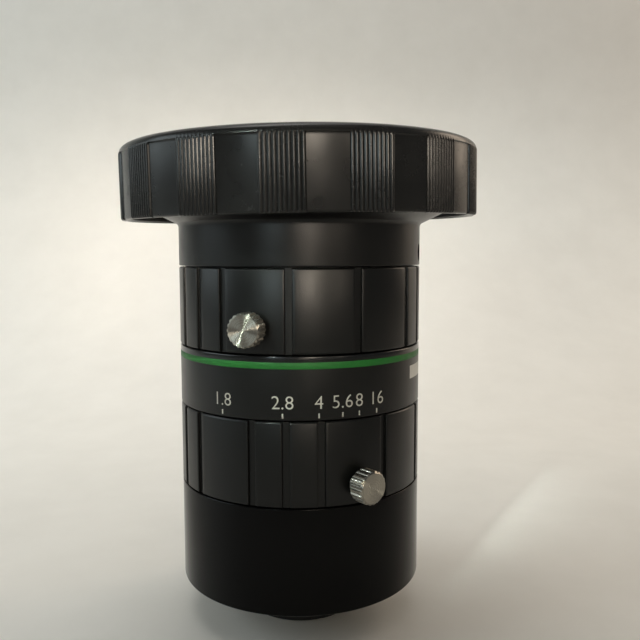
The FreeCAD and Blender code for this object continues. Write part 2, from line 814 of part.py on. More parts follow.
def sleeve_group():
    """The glass inside the optics sleeve with its spacers, down to the iris."""
    bore_r = optics_bore_r - seat_gap
    inner = bore_r - spacer_wall
    third_rear, third_front = third_glass_curves
    fourth_rear, fourth_front = fourth_glass_curves
    third_edge = third_glass_z0 + third_glass_edge
    third_z0 = third_glass_z0 - sag(third_rear, bore_r)
    third_z1 = third_edge + sag(third_front, bore_r)
    spacer_z0 = third_edge + rise(third_front, bore_r, inner)
    middle_z1 = third_glass_z0 - rise(third_rear, bore_r, inner)
    fourth_edge = third_glass_z0 - middle_gap
    fourth_z0 = fourth_edge - fourth_glass_edge
    fourth_hollow_z = fourth_z0 + sag(fourth_rear, bore_r)
    fourth_front_z = fourth_edge - sag(fourth_front, bore_r)
    return {
        "front_spacer": tube(bore_r, inner, spacer_z0, front_cell_tube_z0),
        "third_element": element(bore_r, third_z0, third_rear, 1, third_z1, third_front, -1),
        "middle_spacer": tube(bore_r, inner, fourth_edge + seat_gap, middle_z1),
        "fourth_element": element(
            bore_r, fourth_hollow_z, fourth_rear, -1, fourth_front_z, fourth_front, 1
        ),
        "iris_spacer": tube(bore_r, inner, iris_retainer_z1 + seat_gap, fourth_z0 - seat_gap),
    }


def pivot(n, z=0.0):
    """Place of a blade's pivot pin."""
    return polar(blade_pivot_r, n * 360.0 / blade_count, z)


def drive_point(swing):
    """Centre of the first blade's drive pin at this swing from fully open."""
    start = polar(blade_pivot_r, blade_drive_angle) - pivot(0)
    turn = FreeCAD.Rotation(Vector(0, 0, 1), swing)
    return pivot(0) + turn.multVec(start)


def iris_housing():
    """Base plate with the pivot pins, and the rim that carries the cam ring."""
    base_z1 = iris_base_z0 + iris_base_thickness
    body = turned(
        (iris_base_hole_r, iris_base_z0),
        (optics_bore_r - seat_gap, iris_base_z0),
        (optics_bore_r - seat_gap, blade_stack_z1),
        (iris_rim_r, blade_stack_z1),
        (iris_rim_r, base_z1),
        (iris_base_hole_r, base_z1),
    )
    pins = []
    for n in range(blade_count):
        pins.append(Part.makeCylinder(blade_pivot_pin_r, blade_stack_z1 - base_z1, pivot(n, base_z1)))
    return body.fuse(pins).removeSplitter()


def blade_outline():
    """Crescent with a lug outside it for the pivot hole and the drive pin, fully open, pivot at +X."""
    end = -6.0
    lug_back = -3.5
    lug_front = blade_drive_angle + blade_lug_margin
    band_middle = (iris_open_r + blade_outer_r) / 2

    def arc(r, start, stop):
        return Part.Arc(polar(r, start), polar(r, (start + stop) / 2), polar(r, stop)).toShape()

    def line(first, last):
        return Part.LineSegment(first, last).toShape()

    tip = Part.Arc(
        polar(iris_open_r, blade_tip_angle),
        polar(band_middle, blade_tip_angle + blade_tip_bulge),
        polar(blade_outer_r, blade_tip_angle),
    )
    return Part.Wire(
        [
            arc(iris_open_r, end, blade_tip_angle),
            tip.toShape(),
            arc(blade_outer_r, blade_tip_angle, lug_front + 1),
            line(polar(blade_outer_r, lug_front + 1), polar(blade_lug_r, lug_front)),
            arc(blade_lug_r, lug_front, lug_back),
            line(polar(blade_lug_r, lug_back), polar(blade_outer_r, end)),
            line(polar(blade_outer_r, end), polar(iris_open_r, end)),
        ]
    )


def iris_blade(n):
    """One leaf with its drive pin, at its own level in the stack and at the rest aperture."""
    z0 = blade_stack_z0 + n * blade_pitch
    leaf = Part.Face(blade_outline()).extrude(Vector(0, 0, blade_thickness))
    leaf = leaf.cut(Part.makeCylinder(blade_hole_r, blade_thickness, pivot(0)))
    leaf.translate(Vector(0, 0, z0))
    pin_top = cam_plate_z1 - running_gap
    pin = Part.makeCylinder(blade_pin_r, pin_top - z0, polar(blade_pivot_r, blade_drive_angle, z0))
    leaf = leaf.fuse(pin).removeSplitter()
    leaf.rotate(pivot(0), Vector(0, 0, 1), blade_rest_swing)
    return on_axis(leaf, n * 360.0 / blade_count)


def cam_slot():
    """Curved slot that keeps the blades' swing in a constant ratio to the cam ring's turn."""
    steps = 12
    centres = []
    for n in range(steps + 1):
        swing = blade_sweep * n / steps
        turn = FreeCAD.Rotation(Vector(0, 0, 1), -(swing - blade_rest_swing) * cam_per_swing)
        centres.append(turn.multVec(drive_point(swing)))
    left = []
    right = []
    for n, centre in enumerate(centres):
        before = centres[max(n - 1, 0)]
        after = centres[min(n + 1, steps)]
        along = (after - before).normalize()
        side = Vector(-along.y, along.x, 0) * cam_slot_half
        left.append(centre + side)
        right.append(centre - side)
    first = (centres[1] - centres[0]).normalize()
    last = (centres[-1] - centres[-2]).normalize()
    upper = Part.BSplineCurve()
    upper.interpolate(left)
    lower = Part.BSplineCurve()
    lower.interpolate(right)
    start_cap = Part.Arc(right[0], centres[0] - first * cam_slot_half, left[0])
    end_cap = Part.Arc(left[-1], centres[-1] + last * cam_slot_half, right[-1])
    edges = [upper.toShape(), end_cap.toShape(), lower.toShape(), start_cap.toShape()]
    face = Part.Face(Part.Wire(Part.__sortEdges__(edges)))
    slot = face.extrude(Vector(0, 0, 2 * cam_plate))
    slot.translate(Vector(0, 0, cam_z0 - cam_plate / 2))
    return slot


def iris_cam_ring():
    """Plate with one curved slot for each blade, and a notched collar that the drive pin turns."""
    body = turned(
        (cam_hole_r, cam_z0),
        (optics_bore_r - 2 * running_gap, cam_z0),
        (optics_bore_r - 2 * running_gap, cam_z1),
        (cam_collar_r, cam_z1),
        (cam_collar_r, cam_plate_z1),
        (cam_hole_r, cam_plate_z1),
    )
    cuts = [on_axis(cam_slot(), n * 360.0 / blade_count) for n in range(blade_count)]
    half = drive_pin_r + running_gap
    notch_r = cam_collar_r - running_gap
    notch = Part.makeBox(barrel_r, 2 * half, 2 * cam_collar_height, Vector(notch_r, -half, cam_plate_z1))
    cuts.append(on_axis(notch, azimuth(iris_pin_angle)))
    return body.cut(cuts)


def iris_retainer():
    """Ring that traps the cam ring, with a lip-free bore and two spanner slots."""
    return retainer(optics_bore_r - seat_gap, cam_collar_r, iris_retainer_z0, iris_retainer_z1)


focus_lock = (focus_lock_angle, focus_lock_lean, focus_lock_z)
iris_lock = (iris_lock_angle, iris_lock_lean, iris_lock_z)

nodes = {
    "main_barrel": main_barrel(),
    "front_barrel": front_barrel(),
    "filter_ring": filter_ring(),
    "rear_barrel": rear_barrel(),
    "c_mount_ring": c_mount_ring(),
    "rear_cell": rear_cell(),
    "neck_set_screw": neck_set_screw(),
    "guide_screw": guide_screw(),
    "focus_ring": grip_ring(
        focus_ring_z0, focus_ring_z1, focus_slots_start, focus_slots, focus_slots_period,
        focus_lock, focus_pin_angle, focus_pin_z,
    ),
    "focus_drive_pin": drive_pin(optics_r - focus_groove_depth + soft_gap / 2, focus_pin_angle, focus_pin_z),
    "focus_lock_screw": lock_screw(*focus_lock),
    "iris_ring": grip_ring(
        iris_ring_z0, iris_ring_z1, iris_slots_start, iris_slots, iris_slots_period,
        iris_lock, iris_pin_angle, iris_pin_z,
    ),
    "iris_drive_pin": drive_pin(iris_pin_tip_r, iris_pin_angle, iris_pin_z),
    "iris_lock_screw": lock_screw(*iris_lock),
    "optics_sleeve": optics_sleeve(),
    "front_cell": front_cell(),
    "iris_housing": iris_housing(),
    "iris_cam_ring": iris_cam_ring(),
    "iris_retainer": iris_retainer(),
    "front_cap": front_cap(),
}
nodes.update(rear_group())
nodes.update(front_group())
nodes.update(sleeve_group())
for number in range(blade_count):
    nodes[f"iris_blade_{number + 1}"] = iris_blade(number)

os.makedirs("parts", exist_ok=True)
for name, shape in nodes.items():
    shape.exportStep(os.path.join("parts", name + ".step"))

print(len(nodes), "nodes")
print("pivots", [tuple(round(v, 4) for v in pivot(n)) for n in range(blade_count)])
for name, lock in (("focus lock", focus_lock), ("iris lock", iris_lock)):
    base, out = lock_axis(*lock)
    print(name, [round(v, 4) for v in base], [round(v, 6) for v in out])
print("blade swing per degree of iris turn", round(1 / cam_per_swing, 6))
print("blade swing at rest", round(blade_rest_swing, 4), "of", round(blade_sweep, 4))
print("turn per metre of lift", round(1000 * math.radians(focus_turn) / focus_lift, 6))
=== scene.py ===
"""Looks for the C-mount lens: turned rings, a ribbed cap, knurled screws, threads, markings and glass.

Sizes are in millimetres, and the mesh code turns them into metres. Angles round the barrel are counted
in degrees from -Y towards +X, as in the CAD source. A pair whose name ends in _Z is two heights.
"""
import json
import math

import bmesh
import bpy
from mathutils import Matrix, Vector


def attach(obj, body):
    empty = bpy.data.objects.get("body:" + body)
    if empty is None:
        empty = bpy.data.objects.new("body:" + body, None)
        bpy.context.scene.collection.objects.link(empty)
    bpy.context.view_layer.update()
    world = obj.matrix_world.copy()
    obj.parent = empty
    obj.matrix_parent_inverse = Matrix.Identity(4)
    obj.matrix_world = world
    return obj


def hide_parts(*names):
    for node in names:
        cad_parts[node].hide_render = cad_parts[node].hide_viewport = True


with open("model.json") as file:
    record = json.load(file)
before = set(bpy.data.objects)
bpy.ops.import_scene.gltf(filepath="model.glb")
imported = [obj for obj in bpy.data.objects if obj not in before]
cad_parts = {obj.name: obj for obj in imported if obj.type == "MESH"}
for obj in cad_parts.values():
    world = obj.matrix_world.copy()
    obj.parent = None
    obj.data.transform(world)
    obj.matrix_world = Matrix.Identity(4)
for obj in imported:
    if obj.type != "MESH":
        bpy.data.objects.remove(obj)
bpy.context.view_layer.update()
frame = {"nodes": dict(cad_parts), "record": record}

MM = 0.001

# Barrel sizes, as in the CAD source

BARREL_R = 19.5
JOURNAL_R = 17.6
JOURNAL_BORE_R = 15.6
RING_BORE_R = 17.65
REST_Z = -6.1
REAR_Z = (0.05, 16.0)
IRIS_RING_Z = (16.12, 28.6)
BAND_Z = (28.8, 37.95)
LINE_Z = (36.15, 37.09)
FOCUS_RING_Z = (38.15, 50.25)
NECK_Z = (50.45, 56.9)
FLARE_ANGLE = math.radians(64.0)
FLARE_RIM_R = 26.02
FILTER_SEAT_R = 26.05
MOUNT_BORE_R = 11.35

# Threads. A negative depth cuts towards the axis

FILTER_THREAD = {"r": 25.6, "z0": 66.9, "z1": 63.35, "pitch": 0.75, "depth": 0.38}
C_MOUNT_THREAD = {"r": 12.7, "z0": -3.3, "z1": -0.15, "pitch": 25.4 / 32.0, "depth": -0.42}

# Pins and screws round the barrel, and how far each pin turns with its ring

FOCUS_PIN = {"r": 0.83, "angle": 130.0, "z": 46.6, "turn": (0.0, 110.0)}
IRIS_PIN = {"r": 0.83, "angle": 204.0, "z": 25.31, "turn": (-61.0, 9.0)}
GUIDE_HOLE = {"r": 1.55, "angle": 20.0, "z": 42.2}
SET_SCREW_HOLE = {"r": 1.43, "angle": 75.5, "z": 52.4}
FOCUS_SCREW = {"angle": -19.6, "lean": 0.0, "z": 41.85, "spin": 0.0}
IRIS_SCREW = {"angle": 24.2, "lean": 13.0, "z": 19.37, "spin": 5.0}

# Lock screw sizes, with heights above the barrel's surface

SHANK_R = 1.0
SHANK_END = -1.35
COLLAR_R = 1.5
COLLAR_FOOT = 0.3
HEAD_R = 2.45
HEAD_Z = (1.1, 3.75)
HEAD_CHAMFER = 0.3
FLUTES = 20
FLUTE_DEPTH = 0.2
FLUTE_SHARE = 0.54

# Grip slots, in steps round each ring

SLOT_STEP = 15.0
SLOT_HALF = 0.55
SLOT_DEPTH = 0.4
SLOT_EDGE = 0.09
RING_EDGE = 0.3
FOCUS_SLOTS = {"start": -64.8, "pattern": (0, 1, 2, 4, 6), "period": 8}
IRIS_SLOTS = {"start": -66.2, "pattern": (0, 1, 3, 4, 5, 7, 9, 10), "period": 12}

# Cap sizes, with heights above its rim

CAP_R = 28.28
CAP_WALL = 1.15
CAP_HEIGHT = 11.43
CAP_SHOULDER = 10.0
CAP_CROWN = 10.2
CAP_TOP_R = 25.9
CAP_DISH = 0.25
CAP_PADS = 15
CAP_PITCH = 360.0 / CAP_PADS
CAP_CENTRE = -4.5
CAP_RIBS = 10
CAP_RIBBED = 12.6
RIB_DEPTH = 0.17
PANEL_DEPTH = 0.3
CAP_PLACE = (0.07, 0.0, 57.85)
CAP_TILT = {"X": 1.15, "Y": -0.79}

# Aperture scale, each number with its angle

IRIS_DIAL = (("1.8", -35.4), ("2.8", -7.5), ("4", 7.7), ("5.6", 17.9), ("8", 25.6), ("16", 34.6))
DIAL_Z = 31.3
DIAL_HEIGHT = 1.95
TICK_HALF_ANGLE = 0.32
TICK_Z = (29.15, 29.85)
PLATE_ANGLES = (59.6, 79.0)
PLATE_Z = (33.05, 35.05)

# Mesh columns round the large turned pieces, and the angle from which an edge is sharp

SEGMENTS = 288
SHARP = 32.0


# Geometry helpers


def turn_point(r, angle, z):
    """Point at this radius, angle and height."""
    a = math.radians(angle)
    return (r * math.sin(a), -r * math.cos(a), z)


def even_angles(count):
    return [360.0 * i / count for i in range(count)]


def clamp(value):
    return min(1.0, max(0.0, value))


def corner_arc(here, before, after, radius, steps):
    """Arc that rounds a corner. before and after lead from the corner to its neighbours."""
    half = before.angle(after) / 2
    reach = min(radius / math.tan(half), 0.49 * before.length, 0.49 * after.length)
    radius = reach * math.tan(half)
    back = before.normalized()
    onward = after.normalized()
    centre = here + (back + onward).normalized() * (radius / math.sin(half))
    start = here + back * reach - centre
    end = here + onward * reach - centre
    total = start.angle(end)
    arc = []
    for k in range(steps + 1):
        t = k / steps
        mixed = (start * math.sin((1 - t) * total) + end * math.sin(t * total)) / math.sin(total)
        arc.append(tuple(centre + mixed))
    return arc


def fillet(points, steps=4):
    """Closed (r, z) outline with its corners rounded. A point is (r, z) or (r, z, radius)."""
    outline = []
    for i, point in enumerate(points):
        here = Vector(point[:2])
        if len(point) == 2:
            outline.append(tuple(here))
            continue
        before = Vector(points[i - 1][:2]) - here
        after = Vector(points[(i + 1) % len(points)][:2]) - here
        outline += corner_arc(here, before, after, point[2], steps)
    return outline


def add_object(name, data):
    obj = bpy.data.objects.new(name, data)
    bpy.context.scene.collection.objects.link(obj)
    return obj


def shade_smooth(mesh, sharp):
    mesh.polygons.foreach_set("use_smooth", [True] * len(mesh.polygons))
    mesh.set_sharp_from_angle(angle=math.radians(sharp))


def mesh_object(name, verts, faces, sharp=SHARP):
    mesh = bpy.data.meshes.new(name)
    mesh.from_pydata([tuple(c * MM for c in v) for v in verts], [], faces)
    mesh.validate()
    bm = bmesh.new()
    bm.from_mesh(mesh)
    bmesh.ops.remove_doubles(bm, verts=bm.verts, dist=1e-7)
    bmesh.ops.recalc_face_normals(bm, faces=bm.faces)
    bm.to_mesh(mesh)
    bm.free()
    shade_smooth(mesh, sharp)
    return add_object(name, mesh)


def grid_faces(columns, rows, close_columns=True, close_rows=True):
    """Faces between neighbouring columns of points, where each column has the same number of rows."""
    faces = []
    for i in range(columns if close_columns else columns - 1):
        j = (i + 1) % columns
        for k in range(rows if close_rows else rows - 1):
            m = (k + 1) % rows
            faces.append((i * rows + k, j * rows + k, j * rows + m, i * rows + m))
    return faces


def grid_lathe(name, angles, outline_at, sharp=SHARP):
    """Closed solid of revolution. Its outline may change with the angle, but not its number of points."""
    verts = []
    for angle in angles:
        verts += [turn_point(r, angle, z) for r, z in outline_at(angle)]
    return mesh_object(name, verts, grid_faces(len(angles), len(verts) // len(angles)), sharp)


def lathe(name, outline, segments=SEGMENTS):
    return grid_lathe(name, even_angles(segments), lambda angle: outline)


def solid_lathe(name, segments, section_at, low, high, sharp):
    """Solid of revolution that reaches the axis, at the heights low and high."""
    verts = []
    for angle in even_angles(segments):
        verts += [turn_point(r, angle, z) for r, z in section_at(angle)]
    rows = len(verts) // segments
    faces = grid_faces(segments, rows, close_rows=False)
    for row, z in ((0, low), (rows - 1, high)):
        verts.append((0.0, 0.0, z))
        for i in range(segments):
            j = (i + 1) % segments
            faces.append((len(verts) - 1, j * rows + row, i * rows + row))
    return mesh_object(name, verts, faces, sharp)


def sector(name, inner, outer, heights, start, end, steps):
    """Part of a ring of rectangular section, between two angles."""
    low, high = heights
    verts = []
    for i in range(steps + 1):
        angle = start + (end - start) * i / steps
        for r, z in ((inner, low), (outer, low), (outer, high), (inner, high)):
            verts.append(turn_point(r, angle, z))
    ends = [(0, 1, 2, 3), tuple(4 * steps + k for k in (3, 2, 1, 0))]
    return mesh_object(name, verts, ends + grid_faces(steps + 1, 4, close_columns=False))


def cylinder_cutter(r, start, direction, length, segments=48):
    axis = Vector(direction).normalized()
    side = axis.orthogonal().normalized()
    up = axis.cross(side)
    verts = []
    for t in (0.0, length):
        for i in range(segments):
            a = 2 * math.pi * i / segments
            verts.append(tuple(Vector(start) + axis * t + (side * math.cos(a) + up * math.sin(a)) * r))
    faces = [tuple(range(segments))[::-1], tuple(range(segments, 2 * segments))]
    for i in range(segments):
        j = (i + 1) % segments
        faces.append((i, j, segments + j, segments + i))
    return mesh_object("cutter", verts, faces)


def radial_cutter(hole, inner, outer):
    """Cutter for a hole that points at the axis, from the inner to the outer radius."""
    start = turn_point(inner, hole["angle"], hole["z"])
    return cylinder_cutter(hole["r"], start, turn_point(1, hole["angle"], 0), outer - inner)


def cut(obj, *cutters):
    """Takes the cutters out of the object and removes them."""
    for cutter in cutters:
        modifier = obj.modifiers.new("cut", "BOOLEAN")
        modifier.operation = "DIFFERENCE"
        modifier.solver = "EXACT"
        modifier.object = cutter
    graph = bpy.context.evaluated_depsgraph_get()
    made = bpy.data.meshes.new_from_object(obj.evaluated_get(graph))
    obj.modifiers.clear()
    obj.data = made
    shade_smooth(made, SHARP)
    for cutter in cutters:
        bpy.data.objects.remove(cutter)


# Material helpers


def new_material(name):
    """New material with its node tree, its shader and its object coordinates."""
    material = bpy.data.materials.new(name)
    material.use_nodes = True
    tree = material.node_tree
    where = tree.nodes.new("ShaderNodeTexCoord").outputs["Object"]
    return material, tree, tree.nodes["Principled BSDF"], where


def noise(tree, where, scale, detail, rough, stretch=(1, 1, 1)):
    """Noise with about this many waves to a metre, or scale times stretch along each axis."""
    mapping = tree.nodes.new("ShaderNodeMapping")
    mapping.inputs["Scale"].default_value = stretch
    tree.links.new(where, mapping.inputs["Vector"])
    node = tree.nodes.new("ShaderNodeTexNoise")
    node.inputs["Scale"].default_value = scale
    node.inputs["Detail"].default_value = detail
    node.inputs["Roughness"].default_value = rough
    tree.links.new(mapping.outputs["Vector"], node.inputs["Vector"])
    return node.outputs["Fac"]


def remap(tree, value, low, high, from_low=0.3, from_high=0.7):
    """Stretches the middle part of a noise to the range from low to high."""
    node = tree.nodes.new("ShaderNodeMapRange")
    node.inputs["From Min"].default_value = from_low
    node.inputs["From Max"].default_value = from_high
    node.inputs["To Min"].default_value = low
    node.inputs["To Max"].default_value = high
    tree.links.new(value, node.inputs["Value"])
    return node.outputs["Result"]


def vary_colour(tree, shader, value, first, second):
    """Base colour that drifts from the first to the second colour with a noise."""
    node = tree.nodes.new("ShaderNodeMix")
    node.data_type = "RGBA"
    tree.links.new(remap(tree, value, 0, 1), node.inputs["Factor"])
    node.inputs["A"].default_value = (*first, 1)
    node.inputs["B"].default_value = (*second, 1)
    tree.links.new(node.outputs["Result"], shader.inputs["Base Color"])


def vary_roughness(tree, shader, value, low, high, **span):
    tree.links.new(remap(tree, value, low, high, **span), shader.inputs["Roughness"])


def add_bump(tree, shader, height, distance, strength=1.0, before=None):
    bump = tree.nodes.new("ShaderNodeBump")
    bump.inputs["Distance"].default_value = distance
    bump.inputs["Strength"].default_value = strength
    tree.links.new(height, bump.inputs["Height"])
    if before:
        tree.links.new(before, bump.inputs["Normal"])
    tree.links.new(bump.outputs["Normal"], shader.inputs["Normal"])
    return bump.outputs["Normal"]


def anodised(name, dark, light, rough, spread, grain, depth, specular=0.5, turning=0.0):
    """Dyed anodised aluminium: fine blasted grain, slow colour drift and, where asked, turning marks."""
    material, tree, shader, where = new_material(name)
    vary_colour(tree, shader, noise(tree, where, 90.0, 4.0, 0.6), dark, light)
    smudge = noise(tree, where, 260.0, 5.0, 0.65)
    vary_roughness(tree, shader, smudge, rough - spread, rough + spread)
    shader.inputs["Specular IOR Level"].default_value = specular
    normal = add_bump(tree, shader, noise(tree, where, grain, 2.0, 0.6), depth)
    if turning:
        marks = noise(tree, where, 1.0, 3.0, 0.7, (30.0, 30.0, 9000.0))
        add_bump(tree, shader, marks, turning, before=normal)
    return material


def radius_and_height(tree, where):
    """Vector of a point's distance from the Z axis and its height. Noise that reads it makes rings."""
    split = tree.nodes.new("ShaderNodeSeparateXYZ")
    tree.links.new(where, split.inputs[0])
    flat = tree.nodes.new("ShaderNodeVectorMath")
    flat.operation = "MULTIPLY"
    flat.inputs[1].default_value = (1, 1, 0)
    tree.links.new(where, flat.inputs[0])
    radius = tree.nodes.new("ShaderNodeVectorMath")
    radius.operation = "LENGTH"
    tree.links.new(flat.outputs["Vector"], radius.inputs[0])
    join = tree.nodes.new("ShaderNodeCombineXYZ")
    tree.links.new(radius.outputs["Value"], join.inputs["X"])
    tree.links.new(split.outputs["Z"], join.inputs["Y"])
    return join.outputs[0]


def turned_steel(name, colour, rough, anisotropic, groove):
    """Bright turned metal, with fine rings round its own axis."""
    material, tree, shader, where = new_material(name)
    pale = tuple(c * 1.12 for c in colour)
    vary_colour(tree, shader, noise(tree, where, 900.0, 4.0, 0.6), colour, pale)
    rings = noise(tree, radius_and_height(tree, where), 14000.0, 2.0, 0.6)
    vary_roughness(tree, shader, rings, rough * 0.9, rough * 1.1)
    add_bump(tree, shader, rings, groove)
    shader.inputs["Metallic"].default_value = 1.0
    shader.inputs["Anisotropic"].default_value = anisotropic
    shader.inputs["Anisotropic Rotation"].default_value = 0.25
    tangent = tree.nodes.new("ShaderNodeTangent")
    tangent.direction_type = "RADIAL"
    tangent.axis = "Z"
    tree.links.new(tangent.outputs[0], shader.inputs["Tangent"])
    return material


def moulded(name, dark, light, rough):
    """Glossy black moulded plastic with faint handling marks."""
    material, tree, shader, where = new_material(name)
    vary_colour(tree, shader, noise(tree, where, 60.0, 4.0, 0.6), dark, light)
    vary_roughness(tree, shader, noise(tree, where, 120.0, 6.0, 0.7), rough * 0.8, rough * 1.5)
    shader.inputs["Specular IOR Level"].default_value = 0.28
    ripple = noise(tree, where, 300.0, 2.0, 0.5)
    normal = add_bump(tree, shader, ripple, 0.00002, 0.04)
    scratch = noise(tree, where, 1.0, 2.0, 0.5, (900.0, 900.0, 90.0))
    add_bump(tree, shader, scratch, 0.000001, 0.1, before=normal)
    return material


def paint(name, colour, rough=0.5, specular=0.5):
    """Matt printed or filled paint."""
    material, tree, shader, where = new_material(name)
    drift = noise(tree, where, 700.0, 4.0, 0.6)
    vary_colour(tree, shader, drift, tuple(c * 0.85 for c in colour), colour)
    vary_roughness(tree, shader, drift, rough * 0.8, rough * 1.2)
    shader.inputs["Specular IOR Level"].default_value = specular
    add_bump(tree, shader, noise(tree, where, 6000.0, 2.0, 0.5), 0.000004)
    return material


def coated_glass(name, tint, film):
    """Clear glass with a little dust, under a thin coating that gives its coloured reflection."""
    material, tree, shader, where = new_material(name)
    dust = noise(tree, where, 1500.0, 4.0, 0.6)
    vary_roughness(tree, shader, dust, 0.0, 0.02, from_low=0.55, from_high=0.9)
    shader.inputs["Base Color"].default_value = (*tint, 1)
    shader.inputs["Transmission Weight"].default_value = 1.0
    shader.inputs["IOR"].default_value = 1.6
    shader.inputs["Thin Film Thickness"].default_value = film
    shader.inputs["Thin Film IOR"].default_value = 1.38
    return material


MATERIALS = {
    "black_satin": anodised(
        "anodised_satin", (0.0026, 0.0027, 0.0025), (0.0042, 0.0042, 0.0039),
        rough=0.32, spread=0.03, grain=4500.0, depth=0.000012, specular=0.28,
    ),
    "black_smooth": anodised(
        "anodised_smooth", (0.0013, 0.0012, 0.0012), (0.0018, 0.0017, 0.0016),
        rough=0.16, spread=0.012, grain=12000.0, depth=0.0000004, specular=0.12, turning=0.0000008,
    ),
    "black_inner": anodised(
        "anodised_inner", (0.006, 0.006, 0.006), (0.010, 0.010, 0.010),
        rough=0.55, spread=0.05, grain=9000.0, depth=0.000008, turning=0.000008,
    ),
    "mount_metal": anodised(
        "anodised_mount", (0.012, 0.012, 0.012), (0.020, 0.020, 0.020),
        rough=0.36, spread=0.06, grain=12000.0, depth=0.000005, turning=0.000006,
    ),
    "screw_steel": turned_steel(
        "turned_screw_steel", (0.34, 0.32, 0.275), rough=0.28, anisotropic=1.0, groove=0.0000001
    ),
    "small_steel": turned_steel(
        "blackened_steel", (0.06, 0.06, 0.06), rough=0.35, anisotropic=0.2, groove=0.000004
    ),
    "brass": turned_steel(
        "turned_brass", (0.55, 0.40, 0.18), rough=0.3, anisotropic=0.3, groove=0.000004
    ),
    "blade_steel": turned_steel(
        "blued_blades", (0.05, 0.05, 0.055), rough=0.4, anisotropic=0.2, groove=0.000004
    ),
    "glass": coated_glass("coated_glass", tint=(0.97, 0.99, 1.0), film=480.0),
    "cap_plastic": moulded(
        "cap_moulded", (0.0065, 0.0065, 0.0065), (0.0105, 0.0105, 0.0100), rough=0.21
    ),
}
GREEN = paint("ring_green", (0.013, 0.105, 0.018), rough=0.45, specular=0.2)
WHITE = paint("marking_white", (0.40, 0.385, 0.34))
PLATE = paint("plate_pale", (0.50, 0.50, 0.47))
GLOSS_BAND = anodised(
    "anodised_gloss_band", (0.003, 0.003, 0.003), (0.004, 0.004, 0.004),
    rough=0.16, spread=0.02, grain=12000.0, depth=0.000001, turning=0.000001,
)


def dress(obj, slot, body, *nodes, material=None):
    """Gives a piece its finish and its body, and hides the CAD nodes that it stands for."""
    obj.data.materials.clear()
    obj.data.materials.append(material or MATERIALS[slot])
    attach(obj, body)
    if nodes:
        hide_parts(*nodes)


# Barrel pieces


def rear_barrel():
    """Smooth sleeve, with a wall inside that carries the mount ring."""
    bottom, top = REAR_Z
    wall_low, wall_high = 2.23, 6.0
    bore_r = 17.63
    hub_r = 14.03
    flange_r = 15.35
    outline = fillet(
        [
            (flange_r, bottom, 0.1), (BARREL_R, bottom, 0.3), (BARREL_R, top, 0.16), (bore_r, top),
            (bore_r, wall_high), (hub_r, wall_high), (hub_r, wall_low), (flange_r, wall_low),
        ]
    )
    dress(lathe("rear_sleeve", outline), "black_smooth", "barrel", "rear_barrel")


def pin_slot(pin):
    """Cutter for the slot in the inner tube that a ring's drive pin runs along."""
    inner, outer = 15.0, 18.2
    half_height = 1.1
    half_angle = 3.68
    heights = (pin["z"] - half_height, pin["z"] + half_height)
    first, last = pin["turn"]
    start = pin["angle"] + first - half_angle
    end = pin["angle"] + last + half_angle
    return sector("cutter", inner, outer, heights, start, end, 40)


def inner_tube():
    """Tube that both rings turn on."""
    bottom, top = 6.2, 56.0
    outline = fillet(
        [
            (JOURNAL_BORE_R, bottom), (JOURNAL_R, bottom, 0.2), (JOURNAL_R, BAND_Z[0]),
            (JOURNAL_R, BAND_Z[1]), (JOURNAL_R, top, 0.2), (JOURNAL_BORE_R, top),
        ]
    )
    tube = lathe("inner_tube", outline, 180)
    cut(tube, pin_slot(FOCUS_PIN), pin_slot(IRIS_PIN), radial_cutter(GUIDE_HOLE, 15.0, 18.5))
    dress(tube, "black_inner", "barrel", "main_barrel")


def middle_band():
    """Band with a shallow groove for the green line, and a glossy rim above the groove."""
    low, high = BAND_Z
    groove_low, groove_high = LINE_Z[0] - 0.01, LINE_Z[1] + 0.01
    groove_r = BARREL_R - 0.03
    outline = fillet(
        [
            (JOURNAL_R, low), (BARREL_R, low, 0.2),
            (BARREL_R, groove_low - 0.02), (groove_r, groove_low),
            (groove_r, groove_high), (BARREL_R, groove_high + 0.02),
            (BARREL_R, high, 0.16), (JOURNAL_R, high),
        ],
        5,
    )
    band = lathe("middle_band", outline)
    dress(band, "black_satin", "barrel")
    band.data.materials.append(GLOSS_BAND)
    for polygon in band.data.polygons:
        if polygon.center.z > (groove_high + 0.01) * MM:
            polygon.material_index = 1


def green_line():
    low, high = LINE_Z
    sunk = BARREL_R - 0.1
    proud = BARREL_R + 0.005
    outline = fillet([(sunk, low), (proud, low, 0.01), (proud, high, 0.01), (sunk, high)], 2)
    dress(lathe("green_line", outline), "black_satin", "barrel", material=GREEN)


def flare_z(r):
    """Height of the flare's outer side at this radius."""
    return NECK_Z[1] + (r - BARREL_R) / math.tan(FLARE_ANGLE)


def front_barrel():
    """Neck and flare, with a recess in front for the filter ring and a hole for the set screw."""
    bottom, flare_start = NECK_Z
    wall = 1.0
    inset = wall / math.cos(FLARE_ANGLE)
    inner_r = FLARE_RIM_R - wall
    lip_r = 20.5
    lip_low, lip_high = 62.1, 63.0
    outline = fillet(
        [
            (RING_BORE_R, bottom, 0.1), (BARREL_R, bottom, 0.16), (BARREL_R, flare_start, 0.8),
            (FLARE_RIM_R, flare_z(FLARE_RIM_R), 0.1), (FLARE_RIM_R, lip_high), (lip_r, lip_high, 0.1),
            (lip_r, lip_low, 0.1), (inner_r, lip_low), (inner_r, flare_z(inner_r + inset)),
            (RING_BORE_R, flare_z(RING_BORE_R + inset)),
        ],
        6,
    )
    neck = lathe("neck_and_flare", outline)
    cut(neck, radial_cutter(SET_SCREW_HOLE, 16.6, 20.5))
    dress(neck, "black_satin", "barrel", "front_barrel")


